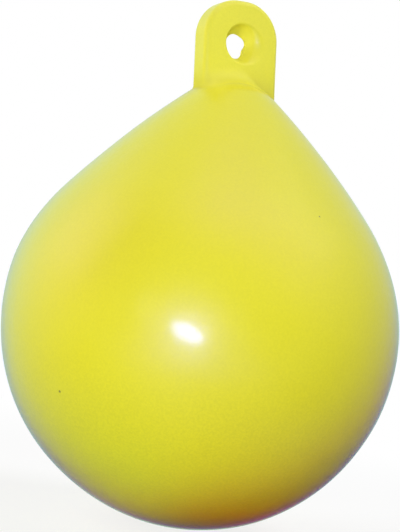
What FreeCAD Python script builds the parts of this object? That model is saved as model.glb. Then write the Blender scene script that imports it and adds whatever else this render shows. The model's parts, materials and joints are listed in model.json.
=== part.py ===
import FreeCAD
import Part

import math
import os

# A pear-shaped marker float of soft moulded plastic with a flat rope eye on its crown.
# Sizes are in millimetres. +Z is up, along the float's axis of turning. +X runs along the width
# of the rope eye, whose front face looks along -Y. The origin is on the axis in the water surface.

# ---- Ball, flank and crown of the hollow shell ----
BALL_RADIUS = 100.0  # outside radius of the round part
SHELL_WALL = 3.0  # wall of the moulded shell
DRAUGHT = 42.0  # depth of the lowest point under water, with nothing tied on
FLANK_START_DEG = 51.0  # angle from the axis at which the ball runs into the flank
FLANK_RADIUS = 445.0  # the flank is almost a cone: a flat arc
CROWN_RADIUS = 35.0  # rounded top that carries the rope eye

# ---- Rope eye: a solid tongue with a hole that widens to both faces ----
EYE_WIDTH = 43.8
EYE_THICKNESS = 13.2
EYE_CORNER_RADIUS = 19.5  # the two corners of the tongue nearly meet in one round end
EYE_RISE = 41.0  # tip of the tongue above the top of the crown
EYE_LEAN_DEG = 6.5  # the tongue has taken a set towards -X
EYE_EDGE_RADIUS = 3.0  # rounding of the tongue's edges
EYE_FOOT_RADIUS = 2.4  # fillet where the tongue grows out of the crown
EYE_ROOT_DEPTH = 30.0  # the tongue's blank starts this far below the top of the crown
EYE_ROOT_MARGIN = 4.0  # strip of the crown's wall round the tongue that belongs to the eye
HOLE_BELOW_TIP = 22.5  # centre of the rope hole under the tip of the tongue
HOLE_RADIUS = 6.4  # throat of the rope hole, half way through
HOLE_LAND = 1.4  # straight length of the throat
HOLE_MOUTH_RADIUS = 10.1  # the hole widens to this at each face, before the lip is rounded
HOLE_LIP_RADIUS = 1.3

# ---- Air valve on the back of the flank: heights are above the flank ----
VALVE_OFFSET = 40.0  # distance of the valve from the float's axis
PAD_RADIUS = 10.5  # raised round pad of the shell under the valve
PAD_RISE = 1.2
PAD_ROOT = 2.0  # thickening of the wall behind the pad
FLANGE_RADIUS = 8.0
FLANGE_THICKNESS = 1.4
SHANK_RADIUS = 5.5
SHANK_TAIL = 2.0  # the shank's end inside the shell
SOCKET_RADIUS = 3.0  # blind socket that takes the screw
SOCKET_FLOOR = 1.5  # material left under the socket
SCREW_CLEARANCE = 0.05  # radial gap of the screw in its socket
SCREW_END_GAP = 0.6  # gap under the screw's tip
SCREW_HEAD_RADIUS = 4.8
SCREW_HEAD_HEIGHT = 1.8
SCREW_EDGE_RADIUS = 0.6
SLOT_WIDTH = 1.4
SLOT_DEPTH = 1.1

CUT_OVER = 1.0  # cutting tools stand this far past what they cut
TOUCH = 0.01  # shapes nearer than this touch

Y_AXIS = FreeCAD.Vector(0, 1, 0)
Z_AXIS = FreeCAD.Vector(0, 0, 1)
ORIGIN = FreeCAD.Vector(0, 0, 0)
FULL_TURN = 360

BALL_CENTRE_Z = BALL_RADIUS - DRAUGHT


class Outline:
    """Half outline of the shell in the XZ plane, made of three arcs that run into each other.

    inset moves the whole outline inwards by a wall, and the arcs keep their centres.
    Angles are measured from +Z."""

    def __init__(self, inset):
        self.flank_start = math.radians(FLANK_START_DEG)
        self.ball_radius = BALL_RADIUS - inset
        self.flank_radius = FLANK_RADIUS - inset
        self.crown_radius = CROWN_RADIUS - inset
        reach = FLANK_RADIUS - BALL_RADIUS
        flank_x = -reach * math.sin(self.flank_start)
        flank_z = BALL_CENTRE_Z - reach * math.cos(self.flank_start)
        rise = math.sqrt((FLANK_RADIUS - CROWN_RADIUS) ** 2 - flank_x**2)
        self.ball_centre = FreeCAD.Vector(0, 0, BALL_CENTRE_Z)
        self.flank_centre = FreeCAD.Vector(flank_x, 0, flank_z)
        self.crown_centre = FreeCAD.Vector(0, 0, flank_z + rise)
        self.flank_end = math.atan2(-flank_x, rise)

    def point(self, centre, radius, angle):
        return centre + FreeCAD.Vector(radius * math.sin(angle), 0, radius * math.cos(angle))

    def arc(self, centre, radius, first, last):
        middle = (first + last) / 2
        ends = [self.point(centre, radius, angle) for angle in (first, middle, last)]
        return Part.Arc(*ends).toShape()

    def bottom(self):
        return self.ball_centre.z - self.ball_radius

    def top(self):
        return self.crown_centre.z + self.crown_radius

    def solid(self):
        """The outline closed along the axis and turned once round it."""
        top = Z_AXIS * self.top()
        bottom = Z_AXIS * self.bottom()
        edges = [
            self.arc(self.ball_centre, self.ball_radius, math.pi, self.flank_start),
            self.arc(self.flank_centre, self.flank_radius, self.flank_start, self.flank_end),
            self.arc(self.crown_centre, self.crown_radius, self.flank_end, 0.0),
            Part.LineSegment(top, bottom).toShape(),
        ]
        return Part.Face(Part.Wire(edges)).revolve(ORIGIN, Z_AXIS, FULL_TURN)

    def flank_at(self, offset):
        """Point of the flank at a distance from the axis, and the angle it faces."""
        angle = math.asin((offset - self.flank_centre.x) / self.flank_radius)
        return self.point(self.flank_centre, self.flank_radius, angle), angle


OUTER = Outline(0.0)
INNER = Outline(SHELL_WALL)
EYE_TIP_Z = OUTER.top() + EYE_RISE
HOLE_CENTRE_Z = EYE_TIP_Z - HOLE_BELOW_TIP


def lean(shape):
    """Tips a shape of the upright tongue over to where it has set, about the top of the crown."""
    leaning = shape.copy()
    leaning.rotate(Z_AXIS * OUTER.top(), Y_AXIS, -EYE_LEAN_DEG)
    return leaning


def block(width, depth, low, high):
    """Upright box centred on the axis."""
    box = Part.makeBox(width, depth, high - low)
    box.translate(FreeCAD.Vector(-width / 2, -depth / 2, low))
    return box


def rope_hole():
    """Tool that cuts the rope hole: a short straight throat that widens to a mouth in each face."""
    half = EYE_THICKNESS / 2
    land = HOLE_LAND / 2
    tool = Part.makeCylinder(HOLE_RADIUS, HOLE_LAND, Y_AXIS * -land, Y_AXIS)
    for outward in (Y_AXIS, Y_AXIS * -1):
        cone = Part.makeCone(
            HOLE_RADIUS, HOLE_MOUTH_RADIUS, half - land, outward * land, outward
        )
        mouth = Part.makeCylinder(HOLE_MOUTH_RADIUS, CUT_OVER, outward * half, outward)
        tool = tool.fuse(cone).fuse(mouth)
    tool.translate(Z_AXIS * HOLE_CENTRE_Z)
    return tool.removeSplitter()


def tongue_blank():
    """Leaning flat tongue with a round end and its rope hole, reaching down into the crown."""
    low = OUTER.top() - EYE_ROOT_DEPTH
    plate = block(EYE_WIDTH, EYE_THICKNESS, low, EYE_TIP_Z)
    upper = [e for e in plate.Edges if e.BoundBox.ZMin > low + TOUCH]
    corners = [e for e in upper if e.BoundBox.YLength > TOUCH]
    plate = plate.makeFillet(EYE_CORNER_RADIUS, corners)
    above_foot = [e for e in plate.Edges if e.BoundBox.ZMax > low + TOUCH]
    rim = [e for e in above_foot if e.BoundBox.YLength < TOUCH]
    plate = plate.makeFillet(EYE_EDGE_RADIUS, rim).cut(rope_hole())
    circles = [e for e in plate.Edges if isinstance(e.Curve, Part.Circle)]
    lips = [e for e in circles if abs(e.Curve.Radius - HOLE_MOUTH_RADIUS) < TOUCH]
    return lean(plate.makeFillet(HOLE_LIP_RADIUS, lips))


def root_block():
    """Leaning block round the tongue. What it holds of the crown's wall belongs to the eye."""
    width = EYE_WIDTH + 2 * EYE_ROOT_MARGIN
    depth = EYE_THICKNESS + 2 * EYE_ROOT_MARGIN
    low = OUTER.top() - EYE_ROOT_DEPTH
    box = block(width, depth, low, EYE_TIP_Z + EYE_ROOT_MARGIN)
    upright = [e for e in box.Edges if e.BoundBox.ZLength > EYE_RISE]
    return lean(box.makeFillet(EYE_EDGE_RADIUS + EYE_ROOT_MARGIN, upright))


def touches(shape, point):
    """True where a point lies on a solid's skin."""
    return shape.Shells[0].distToShape(Part.Vertex(point))[0] < TOUCH


def seam_edges(joined, body, tongue):
    """Edges of the joined shape that lie on the skin of both of its halves."""
    seam = []
    for edge in joined.Edges:
        middle = edge.valueAt((edge.FirstParameter + edge.LastParameter) / 2)
        if touches(body, middle) and touches(tongue, middle):
            seam.append(edge)
    return seam


def valve_axis():
    """Where the valve's axis leaves the back of the flank, and which way it points."""
    point, angle = OUTER.flank_at(VALVE_OFFSET)
    base = FreeCAD.Vector(0, point.x, point.z)
    return base, FreeCAD.Vector(0, math.sin(angle), math.cos(angle))


def on_valve(height):
    base, direction = valve_axis()
    return base + direction * height


def disc(radius, low, high):
    """Cylinder on the valve's axis between two heights."""
    return Part.makeCylinder(radius, high - low, on_valve(low), valve_axis()[1])


PAD_BACK = -SHELL_WALL - PAD_ROOT  # inner end of the thickened wall
FLANGE_TOP = PAD_RISE + FLANGE_THICKNESS
SHANK_END = PAD_BACK - SHANK_TAIL
HEAD_TOP = FLANGE_TOP + SCREW_HEAD_HEIGHT


def float_shell():
    """Hollow moulded body with its valve pad, cut out for the eye's root and bored for the valve."""
    body = OUTER.solid().fuse(disc(PAD_RADIUS, -SHELL_WALL, PAD_RISE))
    cavity = INNER.solid().cut(disc(PAD_RADIUS, PAD_BACK, 0))
    bore = disc(SHANK_RADIUS, PAD_BACK - CUT_OVER, PAD_RISE + CUT_OVER)
    return body.cut(cavity).cut(root_block()).cut(bore)


def rope_eye():
    """Tongue, the fillet foot on which it grows out of the crown, and its root in the wall."""
    body = OUTER.solid()
    tongue = tongue_blank()
    joined = body.fuse(tongue).removeSplitter()
    joined = joined.makeFillet(EYE_FOOT_RADIUS, seam_edges(joined, body, tongue))
    return joined.common(root_block()).cut(INNER.solid())


def valve_body():
    """Bush with a flange on the pad and a blind socket for the screw."""
    flange = disc(FLANGE_RADIUS, PAD_RISE, FLANGE_TOP)
    shank = disc(SHANK_RADIUS, SHANK_END, FLANGE_TOP)
    socket = disc(SOCKET_RADIUS, SHANK_END + SOCKET_FLOOR, FLANGE_TOP + CUT_OVER)
    return flange.fuse(shank).removeSplitter().cut(socket)


def screw_slot():
    """Driver slot across the screw's head."""
    length = 2 * (SCREW_HEAD_RADIUS + CUT_OVER)
    slot = block(length, SLOT_WIDTH, 0, SLOT_DEPTH + CUT_OVER)
    turn = FreeCAD.Rotation(Z_AXIS, valve_axis()[1])
    place = FreeCAD.Placement(on_valve(HEAD_TOP - SLOT_DEPTH), turn)
    slot.Placement = place.multiply(slot.Placement)
    return slot


def valve_screw():
    """Slotted plug screw, its head seated on the flange."""
    head = disc(SCREW_HEAD_RADIUS, FLANGE_TOP, HEAD_TOP)
    circles = [e for e in head.Edges if isinstance(e.Curve, Part.Circle)]
    rim = [e for e in circles if (e.Curve.Center - on_valve(HEAD_TOP)).Length < TOUCH]
    head = head.makeFillet(SCREW_EDGE_RADIUS, rim)
    tip = SHANK_END + SOCKET_FLOOR + SCREW_END_GAP
    shank = disc(SOCKET_RADIUS - SCREW_CLEARANCE, tip, FLANGE_TOP)
    return head.fuse(shank).removeSplitter().cut(screw_slot())


PARTS = {
    "float_shell": float_shell,
    "rope_eye": rope_eye,
    "valve_body": valve_body,
    "valve_screw": valve_screw,
}

os.makedirs("parts", exist_ok=True)
for name, make in PARTS.items():
    shape = make()
    print(f"{name}: {len(shape.Solids)} solid, valid {shape.isValid()}, {shape.Volume:.0f} mm3")
    shape.exportStep(f"parts/{name}.step")
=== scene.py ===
import json
import math

import bmesh
import bpy
from bpy.props import FloatProperty, FloatVectorProperty, PointerProperty
from mathutils import Matrix, Vector, noise


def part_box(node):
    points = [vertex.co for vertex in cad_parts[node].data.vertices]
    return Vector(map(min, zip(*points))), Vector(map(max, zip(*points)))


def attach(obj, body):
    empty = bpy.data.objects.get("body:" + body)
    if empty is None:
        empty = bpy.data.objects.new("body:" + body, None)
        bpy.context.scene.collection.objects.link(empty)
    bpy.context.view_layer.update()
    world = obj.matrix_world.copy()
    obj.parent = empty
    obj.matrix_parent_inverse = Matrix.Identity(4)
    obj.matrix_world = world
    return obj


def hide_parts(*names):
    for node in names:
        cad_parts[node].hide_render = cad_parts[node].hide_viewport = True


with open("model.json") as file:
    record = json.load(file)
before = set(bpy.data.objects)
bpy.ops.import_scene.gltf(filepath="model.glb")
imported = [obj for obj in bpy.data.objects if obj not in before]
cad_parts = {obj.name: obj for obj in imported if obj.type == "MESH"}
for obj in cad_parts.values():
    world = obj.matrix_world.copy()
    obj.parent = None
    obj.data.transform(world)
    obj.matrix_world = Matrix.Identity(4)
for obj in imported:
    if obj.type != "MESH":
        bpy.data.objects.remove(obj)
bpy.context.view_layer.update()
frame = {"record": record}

bl_info = {
    "name": "Marker float",
    "version": (1, 0, 0),
    "blender": (4, 5, 0),
    "location": "3D View > Sidebar > Float",
    "description": "Finishes a pear-shaped marker float with its rope eye and air valve",
    "category": "Object",
}

# Everything is in metres. +Z runs up the float's axis to the rope eye, -Y is the eye's front.

SHELL_LOW, SHELL_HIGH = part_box("float_shell")
EYE_BORE = next(m for m in frame["record"]["mounts"] if m["name"] == "rope_eye")
HOLE_CENTRE = Vector(EYE_BORE["pos_m"])
SKIN_RELIEF = 0.00005  # the finished skin lies this far inside the solids, to leave room for relief
BODY = "root"
HIDDEN = 0.0015  # how far a foot's edge goes on under the skin it lands on
SEAT_SINK = 0.00001  # a foot's edge lies this far in the skin, so that no gap shows
LANDING = (-0.02, 0.08)  # between these distances down the wall its fillet is looked for
HALVINGS = 48  # steps in which the fillet's place is closed in on
SHARP_EDGE = math.radians(40)
TINY = 0.000001  # less than this counts as nothing
MERGED = 1e-7  # vertices this near are one
FULL_TURN = math.tau
UP = Vector((0, 0, 1))


# -------- sizes and colours

# What a user can change. Each has a name, a description and its value at the start.


def number(name, description, default, **kind):
    return FloatProperty(name=name, description=description, default=default, **kind)


def metres(name, description, default):
    return number(name, description, default, subtype="DISTANCE", unit="LENGTH", precision=5)


def degrees(name, description, default):
    return number(name, description, math.radians(default), subtype="ANGLE", unit="ROTATION")


def watts(name, description, default):
    return number(name, description, default, subtype="POWER", unit="POWER")


def tint(name, description, default):
    return FloatVectorProperty(
        name=name, description=description, default=default, subtype="COLOR", size=3, min=0, max=1
    )


class FloatOutline(bpy.types.PropertyGroup):
    ball_radius: metres("Ball radius", "Radius of the round part", (SHELL_HIGH.x - SHELL_LOW.x) / 2)
    flank_start: degrees(
        "Flank start", "Angle from the axis at which the ball runs into the flank", 51.0
    )
    flank_radius: metres("Flank radius", "Radius of the flat arc of the flank", 0.445)
    crown_radius: metres("Crown radius", "Radius of the rounded top under the rope eye", 0.035)
    unevenness: metres("Unevenness", "Height of the slow waves in the blown skin", 0.00012)


class EyeShape(bpy.types.PropertyGroup):
    width: metres("Width", "Width of the tongue", 0.0438)
    thickness: metres("Thickness", "Thickness of the tongue", 0.0132)
    corner_radius: metres(
        "Corner radius", "Radius of the two corners that make the round end", 0.0195
    )
    edge_radius: metres("Edge radius", "Rounding of the tongue's edges", 0.0030)
    foot_radius: metres("Foot radius", "Fillet where the tongue grows out of the crown", 0.0024)
    hole_drop: metres(
        "Hole below tip",
        "Distance from the tip of the tongue to the centre of the rope hole",
        0.0225,
    )
    throat_radius: metres(
        "Throat radius", "Radius of the hole half way through", EYE_BORE["dims"]["r_mm"] / 1000
    )
    land: metres(
        "Throat land", "Straight length of the throat", EYE_BORE["dims"]["length_mm"] / 1000
    )
    mouth_radius: metres(
        "Mouth radius", "Radius of the hole at each face, before its lip is rounded", 0.0101
    )
    lip_radius: metres("Lip radius", "Rounding of the hole's lips", 0.0013)


class ValveShape(bpy.types.PropertyGroup):
    offset: metres("Valve offset", "Distance of the valve from the float's axis", 0.040)
    pad_radius: metres("Pad radius", "Radius of the raised pad under the valve", 0.0105)
    pad_rise: metres("Pad rise", "Height of the pad over the flank", 0.0012)
    flange_radius: metres("Flange radius", "Radius of the valve's flange", 0.0080)
    flange_thickness: metres("Flange thickness", "Thickness of the valve's flange", 0.0014)
    head_radius: metres("Screw head radius", "Radius of the plug screw's head", 0.0048)
    head_height: metres("Screw head height", "Height of the plug screw's head", 0.0018)
    slot_width: metres("Slot width", "Width of the driver slot", 0.0014)
    slot_depth: metres("Slot depth", "Depth of the driver slot", 0.0011)


class FloatColours(bpy.types.PropertyGroup):
    plastic: tint("Plastic", "Yellow of the moulded float", (0.772, 0.703, 0.004))
    pale: tint(
        "Pale plastic", "Paler cast of the yellow where the skin has bloomed", (0.777, 0.713, 0.012)
    )
    # The rope eye's yellow is lighter than the ball's partly as painted light, for the stronger
    # light that falls on the tongue
    eye: tint(
        "Rope eye", "Yellow of the rope eye, where the plastic is thicker", (0.87, 0.81, 0.042)
    )
    eye_pale: tint("Pale rope eye", "Paler cast of the rope eye", (0.87, 0.81, 0.056))
    speck: tint("Specks", "Burnt specks in the plastic", (0.06, 0.05, 0.01))
    bush: tint("Valve bush", "Plastic of the valve's bush", (0.62, 0.56, 0.05))
    screw: tint("Valve screw", "Plastic of the valve's plug screw", (0.66, 0.66, 0.60))


class StudioSettings(bpy.types.PropertyGroup):
    camera_distance: metres("Camera distance", "From the camera to the middle of the ball", 0.62)
    camera_turn: degrees(
        "Camera turn", "Turn of the camera round the float from the front of the eye", -31.0
    )
    camera_roll: degrees(
        "Camera roll",
        "The camera is held askew by this much, so that the float leans to the right",
        8.0,
    )
    camera_aim: metres(
        "Aim above the ball",
        "The camera looks at a point this far above the middle of the ball",
        0.0321,
    )
    lens: number(
        "Lens", "Focal length on a 36 mm sensor", 82.3, subtype="DISTANCE_CAMERA", unit="CAMERA"
    )
    room_light: number(
        "Room light", "Even light from all round", 0.005, subtype="FACTOR", min=0, max=1
    )
    key_power: watts("Key power", "Power of the soft lamp to the left of the camera", 4.96)
    front_power: watts("Front power", "Power of the soft lamp behind the camera", 6.09)
    right_power: watts(
        "Right power", "Power of the large soft lamp over the float's right side", 17.39
    )
    left_power: watts(
        "Left power", "Power of the large soft lamp over the float's left side", 12.48
    )
    back_power: watts("Back power", "Power of the soft lamp behind the float", 6.0)
    glint_power: watts("Glint power", "Power of the small lamp that shows only as the glint", 2.95)
    reflector_power: watts(
        "Reflector power", "Light that the reflector lying before the float throws up", 2.26
    )


# -------- the float's skin


class Skin:
    """Outside of the shell: ball, flank and crown, each an arc turned round the axis.

    Angles are measured from straight up."""

    def __init__(self, outline):
        self.start = outline.flank_start
        reach = outline.flank_radius - outline.ball_radius
        ball_z = SHELL_LOW.z + outline.ball_radius
        flank_x = -reach * math.sin(self.start)
        flank_z = ball_z - reach * math.cos(self.start)
        rise = math.sqrt((outline.flank_radius - outline.crown_radius) ** 2 - flank_x**2)
        self.end = math.atan2(-flank_x, rise)
        self.ball = Vector((0, 0, ball_z))
        self.flank = Vector((flank_x, 0, flank_z))
        self.crown = Vector((0, 0, flank_z + rise))
        self.ball_radius = outline.ball_radius - SKIN_RELIEF
        self.flank_radius = outline.flank_radius - SKIN_RELIEF
        self.crown_radius = outline.crown_radius - SKIN_RELIEF

    def top(self):
        return self.crown + UP * self.crown_radius

    def gap(self, point):
        """How far a point is outside the skin, and the skin's outward direction there."""
        flat = Vector((math.hypot(point.x, point.y), 0, point.z))
        arm = flat - self.crown
        radius = self.crown_radius
        if math.atan2(arm.x, arm.z) > self.end:
            arm = flat - self.flank
            radius = self.flank_radius
            if math.atan2(arm.x, arm.z) > self.start:
                arm = flat - self.ball
                radius = self.ball_radius
        away = arm.normalized()
        across = Vector((point.x, point.y, 0)).normalized()
        return arm.length - radius, across * away.x + UP * away.z

    def flank_at(self, offset):
        """Point of the flank at a distance behind the axis, and the way it faces."""
        angle = math.asin((offset - self.flank.x) / self.flank_radius)
        flat = self.flank + Vector((math.sin(angle), 0, math.cos(angle))) * self.flank_radius
        return Vector((0, flat.x, flat.z)), Vector((0, math.sin(angle), math.cos(angle)))


# Where the blown skin stands out or has sunk: a direction from the middle of the ball,
# the lump's height and its spread as an angle.
LUMPS = (
    (Vector((-0.83, 0.50, 0.26)), 0.0009, 0.30),
    (Vector((-0.83, 0.49, 0.25)), 0.0004, 0.12),
    (Vector((-0.71, 0.43, 0.56)), -0.0007, 0.13),
    (Vector((-0.51, 0.31, 0.80)), -0.0004, 0.16),
    (Vector((-0.48, 0.29, -0.83)), -0.0010, 0.36),
    (Vector((0.73, -0.44, 0.52)), -0.0007, 0.19),
    (Vector((0.85, -0.51, 0.12)), 0.0006, 0.12),
    (Vector((0.81, -0.49, -0.32)), 0.0005, 0.13),
    (Vector((0.36, -0.22, -0.91)), 0.0004, 0.34),
)
WAVE = 0.038  # length of the slow waves in the skin
SOFT_LIMIT = 0.00004  # how softly the relief is held inside the solid's box
CALM_REACH = 0.050  # the relief dies out towards the crown's top and the valve within this reach


def ease(part):
    """Holds a number between 0 and 1, and eases it in and out between them."""
    part = min(max(part, 0), 1)
    return part * part * (3 - 2 * part)


def room(point, normal):
    """How far a point can move along its normal before it leaves the solid's box."""
    return min(
        (SHELL_HIGH.x - abs(point.x)) / max(abs(normal.x), TINY),
        (SHELL_HIGH.x - abs(point.y)) / max(abs(normal.y), TINY),
        (point.z - SHELL_LOW.z) / max(-normal.z, TINY),
    )


def relief(skin, point, normal, calm_places, unevenness):
    """Height of the moulding's own unevenness at a point of the skin."""
    direction = (point - skin.ball).normalized()
    height = noise.noise(point / WAVE) * unevenness
    for lump, lump_height, spread in LUMPS:
        height += lump_height * math.exp(-((direction.angle(lump) / spread) ** 2))
    for calm in calm_places:
        height *= ease((point - calm).length / CALM_REACH)
    over = math.exp((height - room(point, normal)) / SOFT_LIMIT)
    return height - SOFT_LIMIT * math.log(1 + over)


# -------- working on meshes


def arc(bm, vertex, centre, angle, steps):
    """Draws an arc from a vertex in the XZ plane, and gives the vertex at its end."""
    made = bmesh.ops.spin(
        bm, geom=[vertex], cent=centre, axis=(0, 1, 0), angle=angle, steps=steps, dvec=(0, 0, 0)
    )
    return made["geom_last"][0]


def turn_on_axis(bm, steps):
    """Turns the drawn outline once round the Z axis into a closed skin."""
    for vertex in bm.verts:
        if vertex.co.x < TINY:
            vertex.co.x = 0
    drawn = bm.verts[:] + bm.edges[:]
    bmesh.ops.spin(
        bm, geom=drawn, cent=(0, 0, 0), axis=UP, angle=FULL_TURN, steps=steps, use_merge=True
    )
    bmesh.ops.remove_doubles(bm, verts=bm.verts[:], dist=MERGED)


def add_object(bm, name):
    """Puts a mesh under construction into the scene."""
    mesh = bpy.data.meshes.new(name)
    bm.to_mesh(mesh)
    bm.free()
    made = bpy.data.objects.new(name, mesh)
    bpy.context.scene.collection.objects.link(made)
    return made


def finish_piece(bm, name, material, nodes=()):
    """Closes a mesh, shades it, hangs it on the body and hides the CAD parts it stands for."""
    bmesh.ops.remove_doubles(bm, verts=bm.verts[:], dist=MERGED)
    bmesh.ops.recalc_face_normals(bm, faces=bm.faces[:])
    open_edges = [e for e in bm.edges if not e.is_manifold]
    if open_edges:
        raise RuntimeError(f"{name} has {len(open_edges)} open edges")
    for face in bm.faces:
        face.smooth = True
    for edge in bm.edges:
        edge.smooth = edge.calc_face_angle() < SHARP_EDGE
    piece = add_object(bm, name)
    piece.data.materials.append(material)
    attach(piece, BODY)
    if nodes:
        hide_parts(*nodes)
    return piece


def ring_out(bm, edges):
    """Extrudes a loop of edges, and gives the new loop's vertices and edges."""
    made = bmesh.ops.extrude_edge_only(bm, edges=edges)["geom"]
    verts = [g for g in made if isinstance(g, bmesh.types.BMVert)]
    new = [g for g in made if isinstance(g, bmesh.types.BMEdge)]
    loop = set(verts)
    return verts, [e for e in new if e.verts[0] in loop and e.verts[1] in loop]


def land_on_skin(bm, edges, skin, fillet, outward, down, segments):
    """Carries a wall's open loop down to the skin and lands it there with a fillet.

    outward(vertex) is the wall's outward direction and down the way the wall runs.
    The fillet is the track of a ball of radius fillet(vertex) that touches wall and skin."""
    key = bm.verts.layers.int.get("rank") or bm.verts.layers.int.new("rank")
    start = {v for e in edges for v in e.verts}
    track = {}
    for rank, vertex in enumerate(start):
        vertex[key] = rank
        away = outward(vertex)
        radius = fillet(vertex)
        low, high = LANDING
        for _ in range(HALVINGS):
            middle = (low + high) / 2
            if skin.gap(vertex.co + down * middle + away * radius)[0] > radius:
                low = middle
            else:
                high = middle
        centre = vertex.co + down * low + away * radius
        track[rank] = (centre, -away, -skin.gap(centre)[1], radius)
    for step in range(segments + 1):
        verts, edges = ring_out(bm, edges)
        for vertex in verts:
            centre, wall, floor, radius = track[vertex[key]]
            vertex.co = centre + wall.slerp(floor, step / segments) * radius
            if step == segments:
                vertex.co += floor * SEAT_SINK
    verts, edges = ring_out(bm, edges)
    for vertex in verts:
        vertex.co += track[vertex[key]][2] * HIDDEN
    bmesh.ops.holes_fill(bm, edges=edges, sides=0)


# -------- materials


class Tone:
    """A shader value that takes part in arithmetic: each operator adds its Math node."""

    def __init__(self, nodes, socket):
        self.nodes = nodes
        self.socket = socket

    def beside(self, out):
        """Another output of the node that this value comes from."""
        return Tone(self.nodes, self.socket.node.outputs[out])

    def math(self, operation, first, second):
        return self.nodes.add("ShaderNodeMath", {"operation": operation}, {0: first, 1: second})

    def __add__(self, other):
        return self.math("ADD", self, other)

    __radd__ = __add__

    def __sub__(self, other):
        return self.math("SUBTRACT", self, other)

    def __rsub__(self, other):
        return self.math("SUBTRACT", other, self)

    def __mul__(self, other):
        return self.math("MULTIPLY", self, other)

    __rmul__ = __mul__

    def __rpow__(self, other):
        return self.math("POWER", other, self)

    def __lt__(self, other):
        return self.math("LESS_THAN", self, other)

    def __gt__(self, other):
        return self.math("GREATER_THAN", self, other)


class Nodes:
    """The nodes of a material or a world under construction."""

    def __init__(self, owner):
        owner.use_nodes = True
        self.tree = owner.node_tree
        self.tree.nodes.clear()

    def add(self, kind, settings=None, values=None, out=0):
        """Adds a node: its settings first, then the values or links of its sockets."""
        node = self.tree.nodes.new(kind)
        for key, value in (settings or {}).items():
            setattr(node, key, value)
        for key, value in (values or {}).items():
            if isinstance(value, Tone):
                self.tree.links.new(value.socket, node.inputs[key])
            else:
                node.inputs[key].default_value = value
        return Tone(self, node.outputs[out]) if node.outputs else node

    def mix(self, factor, first, second):
        """Colour between two colours."""
        return self.add(
            "ShaderNodeMix", {"data_type": "RGBA"}, {0: factor, 6: first, 7: second}, out=2
        )

    def vector(self, operation, values, out=0):
        return self.add("ShaderNodeVectorMath", {"operation": operation}, values, out)

    def larger(self, first, second):
        return self.add("ShaderNodeMath", {"operation": "MAXIMUM"}, {0: first, 1: second})

    def noise(self, where, scale, detail, roughness):
        values = {"Vector": where, "Scale": scale, "Detail": detail, "Roughness": roughness}
        return self.add("ShaderNodeTexNoise", None, values)

    def stretch(self, value, low, high):
        """Spreads the part of a value between low and high over 0 to 1."""
        values = {"Value": value, "From Min": low, "From Max": high}
        return self.add("ShaderNodeMapRange", {"interpolation_type": "SMOOTHSTEP"}, values)

    def bump(self, height, distance, under=None):
        values = {"Height": height, "Distance": distance, "Strength": 1.0}
        if under:
            values["Normal"] = under
        return self.add("ShaderNodeBump", None, values)


def colour(value):
    return (*value, 1)


# The soft plastic. Patterns are given by how many of their waves fit in a metre, and a pair of
# heights or of shares is the span over which something passes from nothing to full.
BLOOM_SCALE, BLOOM_SPAN, BLOOM_SHARE = 22, (0.35, 0.68), 0.55
GRAIN_SCALE, GRAIN_SPAN = 950, (0.25, 0.75)
GRAIN_SHADE = (0.72, 0.75, 0.45)  # the yellow is multiplied by this in the grain's hollows
GRAIN_LOW, GRAIN_LOSS, GRAIN_HEIGHTS = 0.36, 0.19, (0.005, 0.055)  # the grain weakens upwards, which darkens the ball towards the bottom as painted shade
PEEL_SCALE, PEEL_SPAN, SWELL_SCALE = 420, (0.3, 0.7), 60
GRAIN_RISE, PEEL_RISE, SWELL_RISE = 0.00002, 0.00003, 0.00025  # heights of the three reliefs

# Corners, where the air is closed in, stay dull and take a paler colour: painted sheen, standing in
# for the gloss and light that they lose
CORNER_REACH, CORNER_SPAN = 0.024, (0.62, 0.99)
CORNER_HEIGHTS = (0.03, 0.08)  # near the floor nothing is a corner
TONGUE_HEIGHTS, TONGUE_LOSS = (0.186, 0.194), 0.65  # the painted sheen is weaker from the crown's top up
# Colours painted in the corners as painted sheen: bluer on the ball, and on the tongue a darker
# yellow near the ball's own
SHELL_CORNER_SHEEN, EYE_CORNER_SHEEN = (0.77, 0.715, 0.19), (0.755, 0.70, 0.05)
EYE_FOOT = (0.177, 0.193)  # heights over which the tongue passes down into its corners' colour, near the ball's own yellow
SHELL_GLOSS, EYE_GLOSS = 0.42, 0.22  # how glossy the skin is on the ball and on the tongue
# Roughness of the skin, what its unevenness, its bloom and its corners add, and the share of
# the gloss that the corners take
ROUGHNESS, PEEL_ROUGHNESS, BLOOM_ROUGHNESS, CORNER_ROUGHNESS = 0.34, 0.06, 0.04, 0.35
GLOSS_LOSS = 0.8

# Burnt specks: some anywhere in the skin, and two that catch the eye, with their radii
SPECK_SCALE, SPECK_SIZE, SPECK_SHARE, SPECK_DEPTH = 55.0, 0.022, 0.05, 0.85
SPECK_RAGGED, SPECK_EDGE = 0.0006, (0.6, 1.3)
SPECKS = (
    (Vector((-0.0874, -0.0319, 0.0215)), 0.0009),
    (Vector((0.0062, -0.0809, 0.1164)), 0.0007),
)


def burnt_specks(nodes, where, grain):
    """1 in the burnt specks and 0 round them."""
    cells = nodes.add("ShaderNodeTexVoronoi", None, {"Vector": where, "Scale": SPECK_SCALE})
    rare = nodes.add("ShaderNodeSeparateColor", None, {0: cells.beside("Color")}) < SPECK_SHARE
    dirt = (cells < SPECK_SIZE) * rare
    for place, radius in SPECKS:
        apart = nodes.vector("DISTANCE", {0: where, 1: place}, out="Value")
        ragged = apart + grain * SPECK_RAGGED
        dirt = dirt + (1 - nodes.stretch(ragged, *(radius * share for share in SPECK_EDGE)))
    return nodes.add("ShaderNodeClamp", None, {0: dirt})


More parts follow.
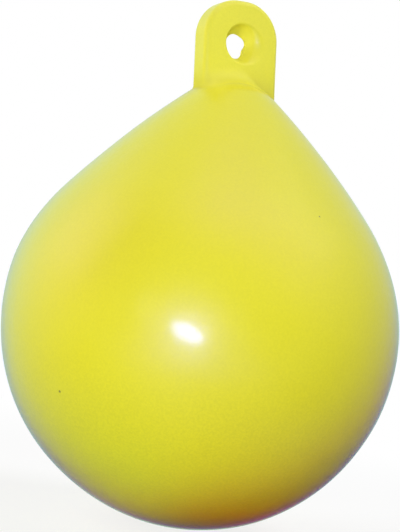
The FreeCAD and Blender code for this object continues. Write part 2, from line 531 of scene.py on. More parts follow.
def soft_plastic(name, deep, pale, speck, gloss, corner_sheen, foot=None):
    """Smooth soft plastic with a slow bloom, a fine grain, burnt specks, painted sheen in its
    corners and a skin like leather.

    Below the heights in foot it has its corners' colour and dullness all over."""
    material = bpy.data.materials.get(name)
    if material:
        return material
    material = bpy.data.materials.new(name)
    nodes = Nodes(material)
    where = nodes.add("ShaderNodeTexCoord", out="Object")
    height = nodes.add("ShaderNodeSeparateXYZ", None, {0: where}, out="Z")
    bloom = nodes.stretch(nodes.noise(where, BLOOM_SCALE, 3, 0.55), *BLOOM_SPAN)
    grain = nodes.noise(where, GRAIN_SCALE, 2, 0.6)
    peel = nodes.noise(where, PEEL_SCALE, 2, 0.5)
    swell = nodes.noise(where, SWELL_SCALE, 1, 0.5)
    yellow = nodes.mix(bloom * BLOOM_SHARE, colour(deep), colour(pale))
    # The grain is deeper low on the ball: painted shade, darker towards the bottom
    depth = GRAIN_LOW - nodes.stretch(height, *GRAIN_HEIGHTS) * GRAIN_LOSS
    deeper = nodes.add(
        "ShaderNodeMix",
        {"data_type": "RGBA", "blend_type": "MULTIPLY"},
        {0: depth * (1 - nodes.stretch(grain, *GRAIN_SPAN)), 6: yellow, 7: colour(GRAIN_SHADE)},
        out=2,
    )
    reach = {"Distance": CORNER_REACH}
    open_air = nodes.add("ShaderNodeAmbientOcclusion", {"samples": 8}, reach, out="AO")
    hollow = (1 - nodes.stretch(open_air, *CORNER_SPAN)) * nodes.stretch(height, *CORNER_HEIGHTS)
    corner = hollow * (1 - nodes.stretch(height, *TONGUE_HEIGHTS) * TONGUE_LOSS)
    if foot:
        corner = nodes.larger(corner, 1 - nodes.stretch(height, *foot))
    dull = nodes.larger(corner, hollow)
    # Painted sheen: the corners take a paler colour in place of the gloss and light that they lose
    paler = nodes.mix(corner, deeper, colour(corner_sheen))
    skin = nodes.mix(burnt_specks(nodes, where, grain) * SPECK_DEPTH, paler, colour(speck))
    rough = ROUGHNESS + nodes.stretch(peel, *PEEL_SPAN) * PEEL_ROUGHNESS + bloom * BLOOM_ROUGHNESS
    swollen = nodes.bump(swell, SWELL_RISE)
    shader = nodes.add(
        "ShaderNodeBsdfPrincipled",
        None,
        {
            "Base Color": skin,
            "Roughness": rough + dull * CORNER_ROUGHNESS,
            "Normal": nodes.bump(grain, GRAIN_RISE, nodes.bump(peel, PEEL_RISE, swollen)),
            "IOR": 1.5,
            "Specular IOR Level": 0.45,
            "Coat Weight": gloss - dull * gloss * GLOSS_LOSS,
            "Coat Roughness": 0.15,
            "Coat IOR": 1.45,
        },
    )
    nodes.add("ShaderNodeOutputMaterial", None, {0: shader})
    return material


def float_plastic(colours):
    deep, pale, speck = colours.plastic, colours.pale, colours.speck
    return soft_plastic("float_plastic_soft", deep, pale, speck, SHELL_GLOSS, SHELL_CORNER_SHEEN)


# The tongue's lighter yellow is partly painted light
def eye_plastic(colours):
    deep, pale, speck = colours.eye, colours.eye_pale, colours.speck
    return soft_plastic("eye_plastic_soft", deep, pale, speck, EYE_GLOSS, EYE_CORNER_SHEEN, EYE_FOOT)


# The valve's hard plastic, with darker blotches and pale scuffs
BLOTCH_SCALE, BLOTCH_SPAN, BLOTCH_SHARE, BLOTCH_SHADE = 260, (0.35, 0.7), 0.35, 0.62
SCUFF_SCALE, SCUFF_SPAN, SCUFF_SHARE, SCUFF_RISE = 1500, (0.45, 0.62), 0.18, 0.00003
SCUFF_GAIN, SCUFF_LIFT, SCUFF_ROUGHNESS = 1.25, 0.04, 0.18
BUSH_ROUGHNESS, SCREW_ROUGHNESS = 0.42, 0.38


def hard_plastic(name, base, roughness):
    """Hard plastic of the valve, blotchy and a little scuffed."""
    material = bpy.data.materials.new(name)
    nodes = Nodes(material)
    where = nodes.add("ShaderNodeTexCoord", out="Object")
    blotch = nodes.stretch(nodes.noise(where, BLOTCH_SCALE, 4, 0.6), *BLOTCH_SPAN)
    scuff = nodes.stretch(nodes.noise(where, SCUFF_SCALE, 2, 0.7), *SCUFF_SPAN)
    darker = colour([part * BLOTCH_SHADE for part in base])
    paler = colour([min(1, part * SCUFF_GAIN + SCUFF_LIFT) for part in base])
    worn = nodes.mix(blotch * BLOTCH_SHARE, colour(base), darker)
    skin = nodes.mix(scuff * SCUFF_SHARE, worn, paler)
    shader = nodes.add(
        "ShaderNodeBsdfPrincipled",
        None,
        {
            "Base Color": skin,
            "Roughness": roughness + scuff * SCUFF_ROUGHNESS,
            "Normal": nodes.bump(scuff, SCUFF_RISE),
        },
    )
    nodes.add("ShaderNodeOutputMaterial", None, {0: shader})
    return material


# -------- the studio's fixed sizes

# Directions are (right, up, towards the camera) from the middle of the ball. A soft lamp has
# its name, its direction and its size.
LAMP_DISTANCE = 1.5
LAMPS = (
    ("key", (-0.45, 0.20, 0.87), 0.35),
    ("front_softbox", (0.0, 0.02, 1.0), 0.35),
    ("right_softbox", (0.70, 0.70, 0.0), 0.9),
    ("left_softbox", (-0.75, 0.65, 0.0), 0.9),
    ("back_lamp", (0.0, 0.05, -1.0), 0.35),
)
GLINT_AIM, GLINT_DISTANCE = (-0.104, -0.029, 0.99), 0.66
GLINT_SIZE, GLINT_SHAPE, GLINT_TURN = 0.198, 0.44, math.radians(-29)
GLINT_COLOUR = (0.28, 0.30, 1.0)
REFLECTOR_DISTANCE, REFLECTOR_SIZE, REFLECTOR_LIFT = 0.5, 0.5, 0.001
ALONG = 0.1  # sine of the angle within which a lamp counts as facing up or down the picture
SENSOR_WIDTH = 36
FLOOR_SIZE, FLOOR_COLOUR = 20, (0.9, 0.9, 0.9)
# Coloured cards on the floor that colour the light thrown up on the float: the radius at
# which each ring starts, its colour on the right and on the left
FLOOR_RINGS = (
    (0.0, (0.90, 0.66, 0.46), (0.90, 0.66, 0.46)),
    (0.045, (0.80, 0.04, 0.03), (0.87, 0.70, 0.49)),
    (0.075, (0.36, 0.18, 0.18), (0.51, 0.90, 0.36)),
    (0.12, (0.90, 0.90, 0.63), (0.90, 0.82, 0.57)),
    (0.20, (0.00, 0.00, 0.00), (0.00, 0.00, 0.00)),
)
RING_SOFT = 0.006  # half the width over which one ring passes into the next
FLOOR_GLOW = 0.82  # share of plain white in the floor near the float, as it is seen
FLOOR_FADE = (0.15, 0.7)  # distance over which the floor passes into the white behind it
TENT_RADIUS = 1.5
TENT_CLOTH = (0.64, 1.00, 0.72)
# Parts of the tent that are lighter or darker than its cloth: the direction of each, how
# closely it is bounded, and what it adds to the cloth's glow
TENT_PATCHES = (
    ((-0.79, 0.59, 0.19), 6.8, (3.38, 2.52, 2.87)),  # bright over the left shoulder
    ((-0.72, 0.62, 0.33), 7.0, (-3.54, -3.43, -1.72)),  # and dark just nearer to the camera
    ((0.23, 0.90, 0.36), 12.0, (-0.03, -0.60, 2.47)),  # blue overhead
    ((0.74, 0.55, 0.38), 11.0, (0.53, 0.24, 1.47)),  # bluish over the right shoulder
    ((0.03, -0.22, -0.97), 2.3, (0.06, 2.37, 2.10)),  # behind the float, a broad cool glow,
    ((0.17, 0.26, -0.95), 3.1, (0.33, -0.68, -0.57)),  # warmer above it,
    ((0.10, -0.56, -0.83), 2.8, (-1.00, -3.94, -2.13)),  # dark under it,
    ((-0.35, 0.00, -0.93), 12.0, (-0.27, -0.29, 0.09)),  # a little darker on the left,
    ((0.35, 0.00, -0.93), 12.0, (-0.30, 0.22, 0.34)),  # cooler on the right,
    ((0.02, -0.20, -0.98), 26.0, (1.30, 2.90, 0.60)),  # and a narrow gleam low down
)

# -------- pieces

BALL_STEPS, FLANK_STEPS, CROWN_STEPS, TURN_STEPS = 110, 36, 28, 200
BOTTOM_MARK = math.radians(4.2)  # the mould's mark at the lowest point, as an angle of the ball
MARK_DEPTH, MARK_STEEPNESS, MARK_STEPS = 0.0004995, 3, 24

# The two halves of the mould met a little out of line in the rope hole: this is where the
# middles of the throat and of the mouths lie, from the hole's centre.
THROAT_SHIFT = Vector((-0.0010, 0, -0.0003))
MOUTH_SHIFT = Vector((0, 0, 0.0005))
# Rag of plastic left in the throat: its direction from the hole's centre, spread and height
RAG = (
    (math.radians(-22), math.radians(30), 0.0019),
    (math.radians(66), math.radians(24), 0.0005),
)
RAG_HALF = 0.0004  # half the rag's thickness
RAG_SIDE = ((0.6, 1), (1, 0.85), (1.3, 0.2), (1.5, 0))  # shares of RAG_HALF and of the height there
# How far the wall between the throat and the lip is hollowed: the direction in which it is
# hollowed most, by how much there, and the share of it elsewhere
DISH = (math.radians(115), 0.0010, 0.15)
LIP_WORN = (math.radians(-15), 0.0052)  # direction in which the lip is worn round, and by how much
# Rings lie at these shares of the way over the hole's wall and over the face
WALL_PARTS, FACE_PARTS = (0.06, 0.2, 0.35, 0.5, 0.65, 0.8, 0.94), (0.06, 0.35, 0.7, 0.94)
ROUNDING_STEPS = 8
SIDE_RING = 0.0005  # a ring this far past the edge's rounding keeps the side straight
FOOT_LINE = 0.0070  # height of the tongue's open foot over the crown's top
SOFT_FOOT = 0.0068  # how much softer the tongue's foot is at its front, towards -X
SOFT_REACH = 0.012  # this far towards +X from the tongue's middle the foot is no softer
FOOT_LANDING_STEPS = 10

# The valve. A chamfer is (across, down).
VALVE_STEPS = 96
PAD_FOOT, PAD_RIM = 0.0009, 0.0005  # fillet round the valve's pad, and rounding of its rim
PAD_RIM_STEPS, PAD_LANDING_STEPS = 5, 6
BUSH_SINK, BUSH_TAPER = 0.001, 0.9  # depth of the bush's foot, its share of the flange's radius
FLANGE_CHAMFER, FLANGE_BEVEL = (0.0006, 0.0003), 0.00018
# The seat round the screw's head: how much wider it is at its mouth and its floor, and its depth
SEAT_MOUTH, SEAT_FLOOR, SEAT_DEPTH = 0.0010, 0.0006, 0.0003
HEAD_CHAMFER, HEAD_BEVEL, HEAD_SINK = (0.0007, 0.0005), 0.0003, 0.0006
BEVELLED = math.radians(25)  # edges sharper than this are rounded
SLOT_TURN = math.radians(35)


class FLOAT_OT_shell(bpy.types.Operator):
    """Make the float's outside skin, with its slow waves and the mould's mark under it"""

    bl_idname = "marker_float.shell"
    bl_label = "Shell"

    def execute(self, context):
        settings = context.scene.marker_float
        skin = Skin(settings.outline)
        bm = bmesh.new()
        pole = bm.verts.new(skin.ball - UP * skin.ball_radius)
        below = arc(bm, pole, skin.ball, -BOTTOM_MARK, MARK_STEPS)
        for step, vertex in enumerate(bm.verts):
            vertex.co += UP * MARK_DEPTH * ease((1 - step / MARK_STEPS) * MARK_STEEPNESS)
        waist = arc(bm, below, skin.ball, skin.start + BOTTOM_MARK - math.pi, BALL_STEPS)
        shoulder = arc(bm, waist, skin.flank, skin.end - skin.start, FLANK_STEPS)
        arc(bm, shoulder, skin.crown, -skin.end, CROWN_STEPS)
        turn_on_axis(bm, TURN_STEPS)
        bmesh.ops.recalc_face_normals(bm, faces=bm.faces[:])
        bm.normal_update()
        calm = (skin.top(), skin.flank_at(settings.valve.offset)[0])
        waves = settings.outline.unevenness
        moves = [v.normal * relief(skin, v.co, v.normal, calm, waves) for v in bm.verts]
        for vertex, move in zip(bm.verts, moves):
            vertex.co += move
        plastic = float_plastic(settings.colours)
        finish_piece(bm, "shell_skin", plastic, ["float_shell"])
        return {"FINISHED"}


class Tongue:
    """Places the rings of the tongue's mesh. Flat places are (x, z) from the hole's centre."""

    FOOT_STEPS = 44
    ROUND_STEPS = 112

    def __init__(self, eye, skin):
        self.eye = eye
        top = skin.top()
        self.lean = math.atan2(-HOLE_CENTRE.x, HOLE_CENTRE.z - top.z)
        self.place = Matrix.Translation(top) @ Matrix.Rotation(-self.lean, 4, "Y")
        self.hole_height = (HOLE_CENTRE - top).length
        self.low = FOOT_LINE - self.hole_height
        self.count = self.FOOT_STEPS + self.ROUND_STEPS
        self.corner = math.atan2(self.low, eye.width / 2)

    def angle(self, index):
        """Direction of a ring's vertex from the hole's centre: first the foot, then the end."""
        if index <= self.FOOT_STEPS:
            part = index / self.FOOT_STEPS
            return -math.pi - self.corner + part * (math.pi + 2 * self.corner)
        part = (index - self.FOOT_STEPS) / self.ROUND_STEPS
        return self.corner + part * (math.pi - 2 * self.corner)

    def towards(self, index, direction):
        """1 for a vertex in this direction from the hole's centre, and 0 from a quarter turn on."""
        return max(math.cos(self.angle(index) - direction), 0) ** 2

    def hole(self, index, radius, depth, rag=0.0):
        """Place on the hole's wall at a depth from the middle of the tongue, towards the front."""
        along = depth / (self.eye.thickness / 2)
        angle = self.angle(index)
        for direction, spread, height in RAG:
            apart = (angle - direction + math.pi) % FULL_TURN - math.pi
            radius -= rag * height * math.exp(-((apart / spread) ** 2))
        return (
            Vector((radius * math.cos(angle), 0, radius * math.sin(angle)))
            + THROAT_SHIFT.lerp(MOUTH_SHIFT, along)
            - Vector((0, depth, 0))
        )

    def outline(self, index, inset, depth):
        """Place on the tongue's outline, moved inwards everywhere but at the foot."""
        eye = self.eye
        half = eye.width / 2 - inset
        if index <= self.FOOT_STEPS:
            return Vector((half * (2 * index / self.FOOT_STEPS - 1), -depth, self.low))
        top = eye.hole_drop - inset
        radius = eye.corner_radius - inset
        angle = self.angle(index)
        across, up = math.cos(angle), math.sin(angle)
        reach = half / max(abs(across), TINY)
        if up > 0:
            reach = min(reach, top / up)
        if reach * up > top - radius and abs(reach * across) > half - radius:
            centre = Vector((math.copysign(half - radius, across), top - radius))
            along = across * centre.x + up * centre.y
            reach = along + math.sqrt(along**2 - centre.length_squared + radius**2)
        return Vector((reach * across, -depth, reach * up))


class FLOAT_OT_eye(bpy.types.Operator):
    """Make the rope eye: a tongue with rounded edges and a hole that widens to both faces"""

    bl_idname = "marker_float.eye"
    bl_label = "Rope eye"

    def execute(self, context):
        settings = context.scene.marker_float
        eye = settings.eye
        skin = Skin(settings.outline)
        tongue = Tongue(eye, skin)
        bm = bmesh.new()
        key = bm.verts.layers.int.new("rank")
        bmesh.ops.create_circle(bm, segments=tongue.count, radius=eye.throat_radius)
        for rank, vertex in enumerate(bm.verts):
            vertex[key] = rank
            vertex.co = tongue.hole(rank, eye.throat_radius, 0, 1)
        edges = bm.edges[:]
        for place in self.front_rings(eye, tongue):
            verts, edges = ring_out(bm, edges)
            for vertex in verts:
                vertex.co = place(vertex[key])
        whole = bm.verts[:] + bm.edges[:] + bm.faces[:]
        bmesh.ops.mirror(bm, geom=whole, merge_dist=TINY, axis="Y")
        at_foot = [f for f in bm.faces if all(abs(v.co.z - tongue.low) < MERGED for v in f.verts)]
        bmesh.ops.delete(bm, geom=at_foot, context="FACES")
        upright = Matrix.Translation(UP * tongue.hole_height)
        bmesh.ops.transform(bm, matrix=tongue.place @ upright, verts=bm.verts[:])
        self.grow_foot(bm, eye, skin, tongue)
        plastic = eye_plastic(settings.colours)
        finish_piece(bm, "rope_eye_skin", plastic, ["rope_eye"])
        return {"FINISHED"}

    def front_rings(self, eye, tongue):
        """Rings from the middle of the throat over the lip and the front face to the side."""
        half = eye.thickness / 2
        land = eye.land / 2
        throat = eye.throat_radius
        for depth, rag in RAG_SIDE:
            yield lambda i, d=depth * RAG_HALF, g=rag: tongue.hole(i, throat, d, g)
        yield lambda i: tongue.hole(i, throat, land)
        slope = math.atan2(eye.mouth_radius - throat, half - land)

        def lip(index):
            """Rounding of the lip at a vertex, and the radius at which it ends in the face."""
            direction, wear = LIP_WORN
            radius = eye.lip_radius + wear * tongue.towards(index, direction)
            wall = (half - radius - land) * math.tan(slope)
            return radius, throat + wall + radius / math.cos(slope)

        def dish(index, part):
            """Place on the hollowed wall between the throat and the lip."""
            radius, reach = lip(index)
            end = (reach - radius * math.cos(slope), half - radius + radius * math.sin(slope))
            direction, most, share = DISH
            hollow = 4 * part * (1 - part) * most
            hollow *= share + tongue.towards(index, direction) * (1 - share)
            across = throat + (end[0] - throat) * part + hollow * math.cos(slope)
            depth = land + (end[1] - land) * part - hollow * math.sin(slope)
            return tongue.hole(index, across, depth)

        def rounding(index, part):
            """Place on the rounded lip."""
            radius, reach = lip(index)
            angle = slope + (math.pi / 2 - slope) * part
            depth = half - radius + radius * math.sin(angle)
            return tongue.hole(index, reach - radius * math.cos(angle), depth)

        def face(index, part):
            """Place on the front face between the lip and the outer edge."""
            rim = tongue.hole(index, lip(index)[1], half)
            return rim.lerp(tongue.outline(index, edge, half), part)

        edge = eye.edge_radius
        steps = [step / ROUNDING_STEPS for step in range(ROUNDING_STEPS + 1)]
        for place, parts in ((dish, WALL_PARTS), (rounding, steps), (face, FACE_PARTS)):
            for part in parts:
                yield lambda i, at=place, p=part: at(i, p)
        for step in steps:
            inset = edge * (1 - math.sin(math.pi / 2 * step))
            depth = half - edge * (1 - math.cos(math.pi / 2 * step))
            yield lambda i, n=inset, d=depth: tongue.outline(i, n, d)
        for depth in (half - edge - SIDE_RING, 0.0):
            yield lambda i, d=depth: tongue.outline(i, 0.0, d)

    def grow_foot(self, bm, eye, skin, tongue):
        """Lands the open foot of the tongue on the crown."""
        back = tongue.place.inverted()
        flat_x = eye.width / 2 - eye.edge_radius
        flat_y = eye.thickness / 2 - eye.edge_radius

        def outward(vertex):
            local = back @ vertex.co
            over_x = max(abs(local.x) - flat_x, 0)
            over_y = max(abs(local.y) - flat_y, 0)
            away = Vector((math.copysign(over_x, local.x), math.copysign(over_y, local.y), 0))
            return (tongue.place.to_3x3() @ away).normalized()

        def fillet(vertex):
            local = back @ vertex.co
            front = max(-outward(vertex).y, 0) ** 2
            return eye.foot_radius + SOFT_FOOT * front * ease(1 - local.x / SOFT_REACH)

        down = tongue.place.to_3x3() @ -UP
        edges = [e for e in bm.edges if e.is_boundary]
        land_on_skin(bm, edges, skin, fillet, outward, down, FOOT_LANDING_STEPS)


class FLOAT_OT_valve(bpy.types.Operator):
    """Make the air valve on the back: its pad, its bush and its slotted plug screw"""

    bl_idname = "marker_float.valve"
    bl_label = "Air valve"

    def execute(self, context):
        settings = context.scene.marker_float
        valve = settings.valve
        skin = Skin(settings.outline)
        base, facing = skin.flank_at(valve.offset)
        side = Vector((1, 0, 0))
        axes = Matrix((side, facing.cross(side), facing)).transposed().to_4x4()
        self.place = Matrix.Translation(base) @ axes
        self.pad(skin, valve, settings.colours, facing)
        flange_top = valve.pad_rise + valve.flange_thickness
        across, down = FLANGE_CHAMFER
        bush = [
            (0, -BUSH_SINK),
            (valve.flange_radius * BUSH_TAPER, -BUSH_SINK),
            (valve.flange_radius, valve.pad_rise),
            (valve.flange_radius, flange_top - down),
            (valve.flange_radius - across, flange_top),
            (valve.head_radius + SEAT_MOUTH, flange_top),
            (valve.head_radius + SEAT_FLOOR, flange_top - SEAT_DEPTH),
            (0, flange_top - SEAT_DEPTH),
        ]
        plastic = hard_plastic("bush_plastic", settings.colours.bush, BUSH_ROUGHNESS)
        self.turned("valve_bush", bush, FLANGE_BEVEL, plastic, "valve_plastic", "valve_body")
        head_top = flange_top + valve.head_height
        across, down = HEAD_CHAMFER
        head = [
            (0, flange_top - HEAD_SINK),
            (valve.head_radius, flange_top - HEAD_SINK),
            (valve.head_radius, head_top - down),
            (valve.head_radius - across, head_top),
            (0, head_top),
        ]
        plastic = hard_plastic("screw_plastic", settings.colours.screw, SCREW_ROUGHNESS)
        screw = self.turned(
            "valve_screw_skin", head, HEAD_BEVEL, plastic, "screw_plastic", "valve_screw"
        )
        self.cut_slot(screw, valve, head_top)
        return {"FINISHED"}

    def pad(self, skin, valve, colours, facing):
        """Raised pad with a rounded rim, landed on the flank."""
        bm = bmesh.new()
        flat = valve.pad_radius - PAD_RIM
        bmesh.ops.create_circle(bm, cap_ends=True, segments=VALVE_STEPS, radius=flat)
        bmesh.ops.translate(bm, vec=UP * valve.pad_rise, verts=bm.verts[:])
        edges = bm.edges[:]
        for step in range(1, PAD_RIM_STEPS + 1):
            verts, edges = ring_out(bm, edges)
            angle = math.pi / 2 * step / PAD_RIM_STEPS
            radius = flat + PAD_RIM * math.sin(angle)
            height = valve.pad_rise - PAD_RIM * (1 - math.cos(angle))
            for vertex in verts:
                across = Vector((vertex.co.x, vertex.co.y, 0)).normalized()
                vertex.co = across * radius + UP * height
        bmesh.ops.transform(bm, matrix=self.place, verts=bm.verts[:])
        middle = self.place.translation

        def outward(vertex):
            arm = vertex.co - middle
            return (arm - facing * arm.dot(facing)).normalized()

        land_on_skin(
            bm, edges, skin, lambda vertex: PAD_FOOT, outward, -facing, PAD_LANDING_STEPS
        )
        finish_piece(bm, "valve_pad", float_plastic(colours))

    def turned(self, name, profile, bevel, material, slot, node):
        """A round piece on the valve's axis, turned from a profile of (radius, height) pairs."""
        bm = bmesh.new()
        verts = [bm.verts.new((radius, 0, height)) for radius, height in profile]
        for first, second in zip(verts, verts[1:]):
            bm.edges.new((first, second))
        turn_on_axis(bm, VALVE_STEPS)
        bmesh.ops.recalc_face_normals(bm, faces=bm.faces[:])
        bmesh.ops.bevel(
            bm,
            geom=[e for e in bm.edges if e.is_manifold and e.calc_face_angle() > BEVELLED],
            offset=bevel,
            segments=3,
            profile=0.5,
            affect="EDGES",
            material=-1,
            clamp_overlap=True,
        )
        bmesh.ops.transform(bm, matrix=self.place, verts=bm.verts[:])
        return finish_piece(bm, name, material, [node])

    def cut_slot(self, screw, valve, head_top):
        """Cuts the driver slot across the screw's head."""
        bm = bmesh.new()
        bmesh.ops.create_cube(bm, size=1)
        size = (valve.head_radius * 3, valve.slot_width, valve.slot_depth * 2)
        bmesh.ops.scale(bm, vec=size, verts=bm.verts[:])
        bmesh.ops.translate(bm, vec=UP * head_top, verts=bm.verts[:])
        place = self.place @ Matrix.Rotation(SLOT_TURN, 4, "Z")
        bmesh.ops.transform(bm, matrix=place, verts=bm.verts[:])
        cutter = add_object(bm, "slot_cutter")
        cut = screw.modifiers.new("slot", "BOOLEAN")
        cut.object = cutter
        cut.operation = "DIFFERENCE"
        cut.solver = "EXACT"
        ready = screw.evaluated_get(bpy.context.evaluated_depsgraph_get())
        mesh = bpy.data.meshes.new_from_object(ready)
        screw.modifiers.clear()
        screw.data = mesh
        bpy.data.meshes.remove(cutter.data)  # its object goes with it


def hide_from(thing, *rays):
    """Hides an object from these kinds of rays."""
    for ray in rays:
        setattr(thing, f"visible_{ray}", False)


class FLOAT_OT_studio(bpy.types.Operator):
    """Set up the floor, the light and the camera"""

    bl_idname = "marker_float.studio"
    bl_label = "Studio"

    def execute(self, context):
        settings = context.scene.marker_float
        studio = settings.studio
        skin = Skin(settings.outline)
        self.middle = skin.ball
        turn = studio.camera_turn
        self.towards = Vector((math.sin(turn), -math.cos(turn), 0))
        self.right = Vector((math.cos(turn), math.sin(turn), 0))
        roll = studio.camera_roll
        self.image_right = self.right * math.cos(roll) + UP * math.sin(roll)
        self.image_up = UP * math.cos(roll) - self.right * math.sin(roll)
        context.scene.view_settings.view_transform = "Standard"
        self.floor()
        self.world(context.scene, studio)
        self.tent()
        self.lamps(studio)
        self.camera(context.scene, studio)
        return {"FINISHED"}

    def seen(self, nodes):
        """1 for rays that show the background: seen directly, mirrored or through glass."""
        direct = nodes.add("ShaderNodeLightPath", out="Is Camera Ray")
        seen = direct + direct.beside("Is Glossy Ray") + direct.beside("Is Transmission Ray")
        return nodes.add("ShaderNodeClamp", None, {0: seen})

    def floor(self):
        """Floor that is nearly white where it is seen and throws a coloured light on the float."""
        bm = bmesh.new()
        bmesh.ops.create_grid(bm, x_segments=8, y_segments=8, size=FLOOR_SIZE)
        bmesh.ops.translate(bm, vec=UP * SHELL_LOW.z, verts=bm.verts[:])
        floor = add_object(bm, "studio_floor")
        material = bpy.data.materials.new("studio_floor")
        nodes = Nodes(material)
        seen = self.seen(nodes)
        matt = nodes.add("ShaderNodeBsdfDiffuse", None, {"Color": colour(FLOOR_COLOUR)})
        glow = nodes.add("ShaderNodeEmission", None, {"Color": (1, 1, 1, 1), "Strength": 1.0})
        where = nodes.add("ShaderNodeTexCoord", out="Object")
        level = nodes.vector("MULTIPLY", {0: where, 1: (1, 1, 0)})
        reach = nodes.vector("LENGTH", {0: level}, out="Value")
        white = FLOOR_GLOW + nodes.stretch(reach, *FLOOR_FADE) * (1 - FLOOR_GLOW)
        shown = nodes.add("ShaderNodeMixShader", None, {0: white, 1: matt, 2: glow})
        beside = nodes.vector("DOT_PRODUCT", {0: level, 1: self.right}, out="Value")
        on_right = nodes.stretch(beside, -RING_SOFT, RING_SOFT)
        card = colour(FLOOR_RINGS[0][1])
        for start, right_side, left_side in FLOOR_RINGS[1:]:
            ring = nodes.mix(on_right, colour(left_side), colour(right_side))
            card = nodes.mix(nodes.stretch(reach, start - RING_SOFT, start + RING_SOFT), card, ring)
        cast = nodes.add("ShaderNodeBsdfDiffuse", None, {"Color": card})
        surface = nodes.add("ShaderNodeMixShader", None, {0: seen, 1: cast, 2: shown})
        nodes.add("ShaderNodeOutputMaterial", None, {0: surface})
        floor.data.materials.append(material)
        hide_from(floor, "glossy")

    def world(self, scene, studio):
        """White all round where it is seen, and an even, weaker light on the float."""
        world = bpy.data.worlds.new("studio")
        scene.world = world
        nodes = Nodes(world)
        seen = self.seen(nodes)
        strength = studio.room_light + seen * (1 - studio.room_light)
        light = nodes.add("ShaderNodeBackground", None, {0: (1, 1, 1, 1), 1: strength})
        nodes.add("ShaderNodeOutputWorld", None, {0: light})

    def direction(self, aim):
        """Direction from (right, up, towards the camera)."""
        right, up, towards = aim
        return (self.image_right * right + self.image_up * up + self.towards * towards).normalized()

    def tent(self):
        """Tent that shows only in the float's gloss, with its lighter and darker parts."""
        bm = bmesh.new()
        bmesh.ops.create_icosphere(bm, subdivisions=5, radius=TENT_RADIUS)
        bmesh.ops.translate(bm, vec=self.middle, verts=bm.verts[:])
        tent = add_object(bm, "gloss_tent")
        material = bpy.data.materials.new("gloss_tent")
        nodes = Nodes(material)
        where = nodes.add("ShaderNodeTexCoord", out="Object")
        arm = nodes.vector("SUBTRACT", {0: where, 1: self.middle})
        facing = nodes.vector("NORMALIZE", {0: arm})
        glow = TENT_CLOTH
        for aim, closeness, change in TENT_PATCHES:
            near = nodes.vector("DOT_PRODUCT", {0: facing, 1: self.direction(aim)}, out="Value")
            part = nodes.vector("SCALE", {0: change, "Scale": math.e ** ((near - 1) * closeness)})
            glow = nodes.vector("ADD", {0: glow, 1: part})
        glow = nodes.vector("MAXIMUM", {0: glow, 1: (0, 0, 0)})
        cloth = nodes.add("ShaderNodeEmission", None, {"Color": glow, "Strength": 1.0})
        nodes.add("ShaderNodeOutputMaterial", None, {0: cloth})
        tent.data.materials.append(material)
        hide_from(tent, "camera", "diffuse", "transmission", "volume_scatter", "shadow")

    def lamp(self, name, place, facing, size, power, shape=1.0, turn=0.0):
        """Area lamp at a place, shining against facing. Turn rolls it about that axis."""
        data = bpy.data.lights.new(name, "AREA")
        data.shape = "RECTANGLE"
        data.size = size
        data.size_y = size * shape
        data.energy = power
        lamp = bpy.data.objects.new(name, data)
        bpy.context.scene.collection.objects.link(lamp)
        across = self.image_up.cross(facing)
        if across.length < ALONG:
            across = self.image_right
        across = across.normalized()
        upright = facing.cross(across).normalized()
        axes = Matrix((across, upright, facing)).transposed() @ Matrix.Rotation(turn, 3, "Z")
        lamp.matrix_world = Matrix.Translation(place) @ axes.to_4x4()
        return lamp

    def lamps(self, studio):
        """The soft lamps, the glint and the reflector that lies on the floor."""
        for name, aim, size in LAMPS:
            facing = self.direction(aim)
            power = getattr(studio, name.split("_")[0] + "_power")
            lamp = self.lamp(name, self.middle + facing * LAMP_DISTANCE, facing, size, power)
            hide_from(lamp, "glossy", "camera")
        facing = self.direction(GLINT_AIM)
        place = self.middle + facing * GLINT_DISTANCE
        shape = (GLINT_SHAPE, GLINT_TURN)
        glint = self.lamp("glint", place, facing, GLINT_SIZE, studio.glint_power, *shape)
        glint.data.color = GLINT_COLOUR
        glint.data.shape = "ELLIPSE"
        hide_from(glint, "diffuse")
        place = self.middle + self.towards * REFLECTOR_DISTANCE
        place.z = SHELL_LOW.z + REFLECTOR_LIFT
        card = self.lamp("reflector", place, -UP, REFLECTOR_SIZE, studio.reflector_power)
        hide_from(card, "glossy", "camera")

    def camera(self, scene, studio):
        """Camera level with the middle of the ball, held askew."""
        data = bpy.data.cameras.new("camera")
        data.lens = studio.lens
        data.sensor_width = SENSOR_WIDTH
        camera = bpy.data.objects.new("camera", data)
        scene.collection.objects.link(camera)
        eye = self.middle + self.towards * studio.camera_distance
        aim = self.middle + self.image_up * studio.camera_aim
        back = (eye - aim).normalized()
        right = self.image_up.cross(back).normalized()
        up = back.cross(right)
        axes = Matrix((right, up, back)).transposed().to_4x4()
        camera.matrix_world = Matrix.Translation(eye) @ axes
        scene.camera = camera


# -------- panel and registration


class MarkerFloatSettings(bpy.types.PropertyGroup):
    outline: PointerProperty(type=FloatOutline, name="Outline")
    eye: PointerProperty(type=EyeShape, name="Rope eye")
    valve: PointerProperty(type=ValveShape, name="Air valve")
    colours: PointerProperty(type=FloatColours, name="Colours")
    studio: PointerProperty(type=StudioSettings, name="Studio")


OPERATORS = (FLOAT_OT_shell, FLOAT_OT_eye, FLOAT_OT_valve, FLOAT_OT_studio)


class FLOAT_PT_panel(bpy.types.Panel):
    """Sizes, colours and steps of the marker float"""

    bl_idname = "FLOAT_PT_panel"
    bl_label = "Marker float"
    bl_space_type = "VIEW_3D"
    bl_region_type = "UI"
    bl_category = "Float"

    def draw(self, context):
        settings = context.scene.marker_float
        for name in ("outline", "eye", "valve", "colours", "studio"):
            group = getattr(settings, name)
            box = self.layout.box()
            box.label(text=settings.bl_rna.properties[name].name)
            for size in group.__annotations__:
                box.prop(group, size)
        for operator in OPERATORS:
            self.layout.operator(operator.bl_idname)


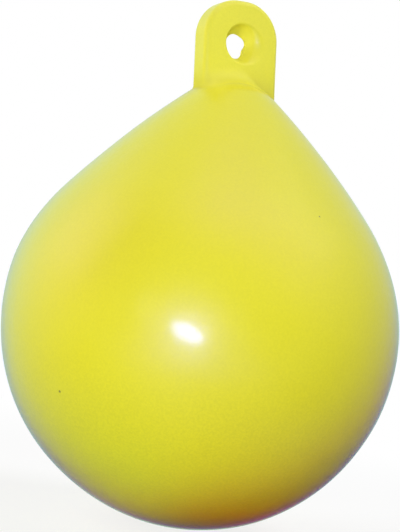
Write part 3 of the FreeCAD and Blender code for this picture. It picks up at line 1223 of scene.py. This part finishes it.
CLASSES = (
    FloatOutline,
    EyeShape,
    ValveShape,
    FloatColours,
    StudioSettings,
    MarkerFloatSettings,
    *OPERATORS,
    FLOAT_PT_panel,
)


def register():
    for cls in CLASSES:
        bpy.utils.register_class(cls)
    bpy.types.Scene.marker_float = PointerProperty(type=MarkerFloatSettings)


def unregister():
    del bpy.types.Scene.marker_float
    for cls in reversed(CLASSES):
        bpy.utils.unregister_class(cls)


def main():
    register()
    bpy.ops.marker_float.shell()
    bpy.ops.marker_float.eye()
    bpy.ops.marker_float.valve()
    bpy.ops.marker_float.studio()


if __name__ == "__main__":
    main()
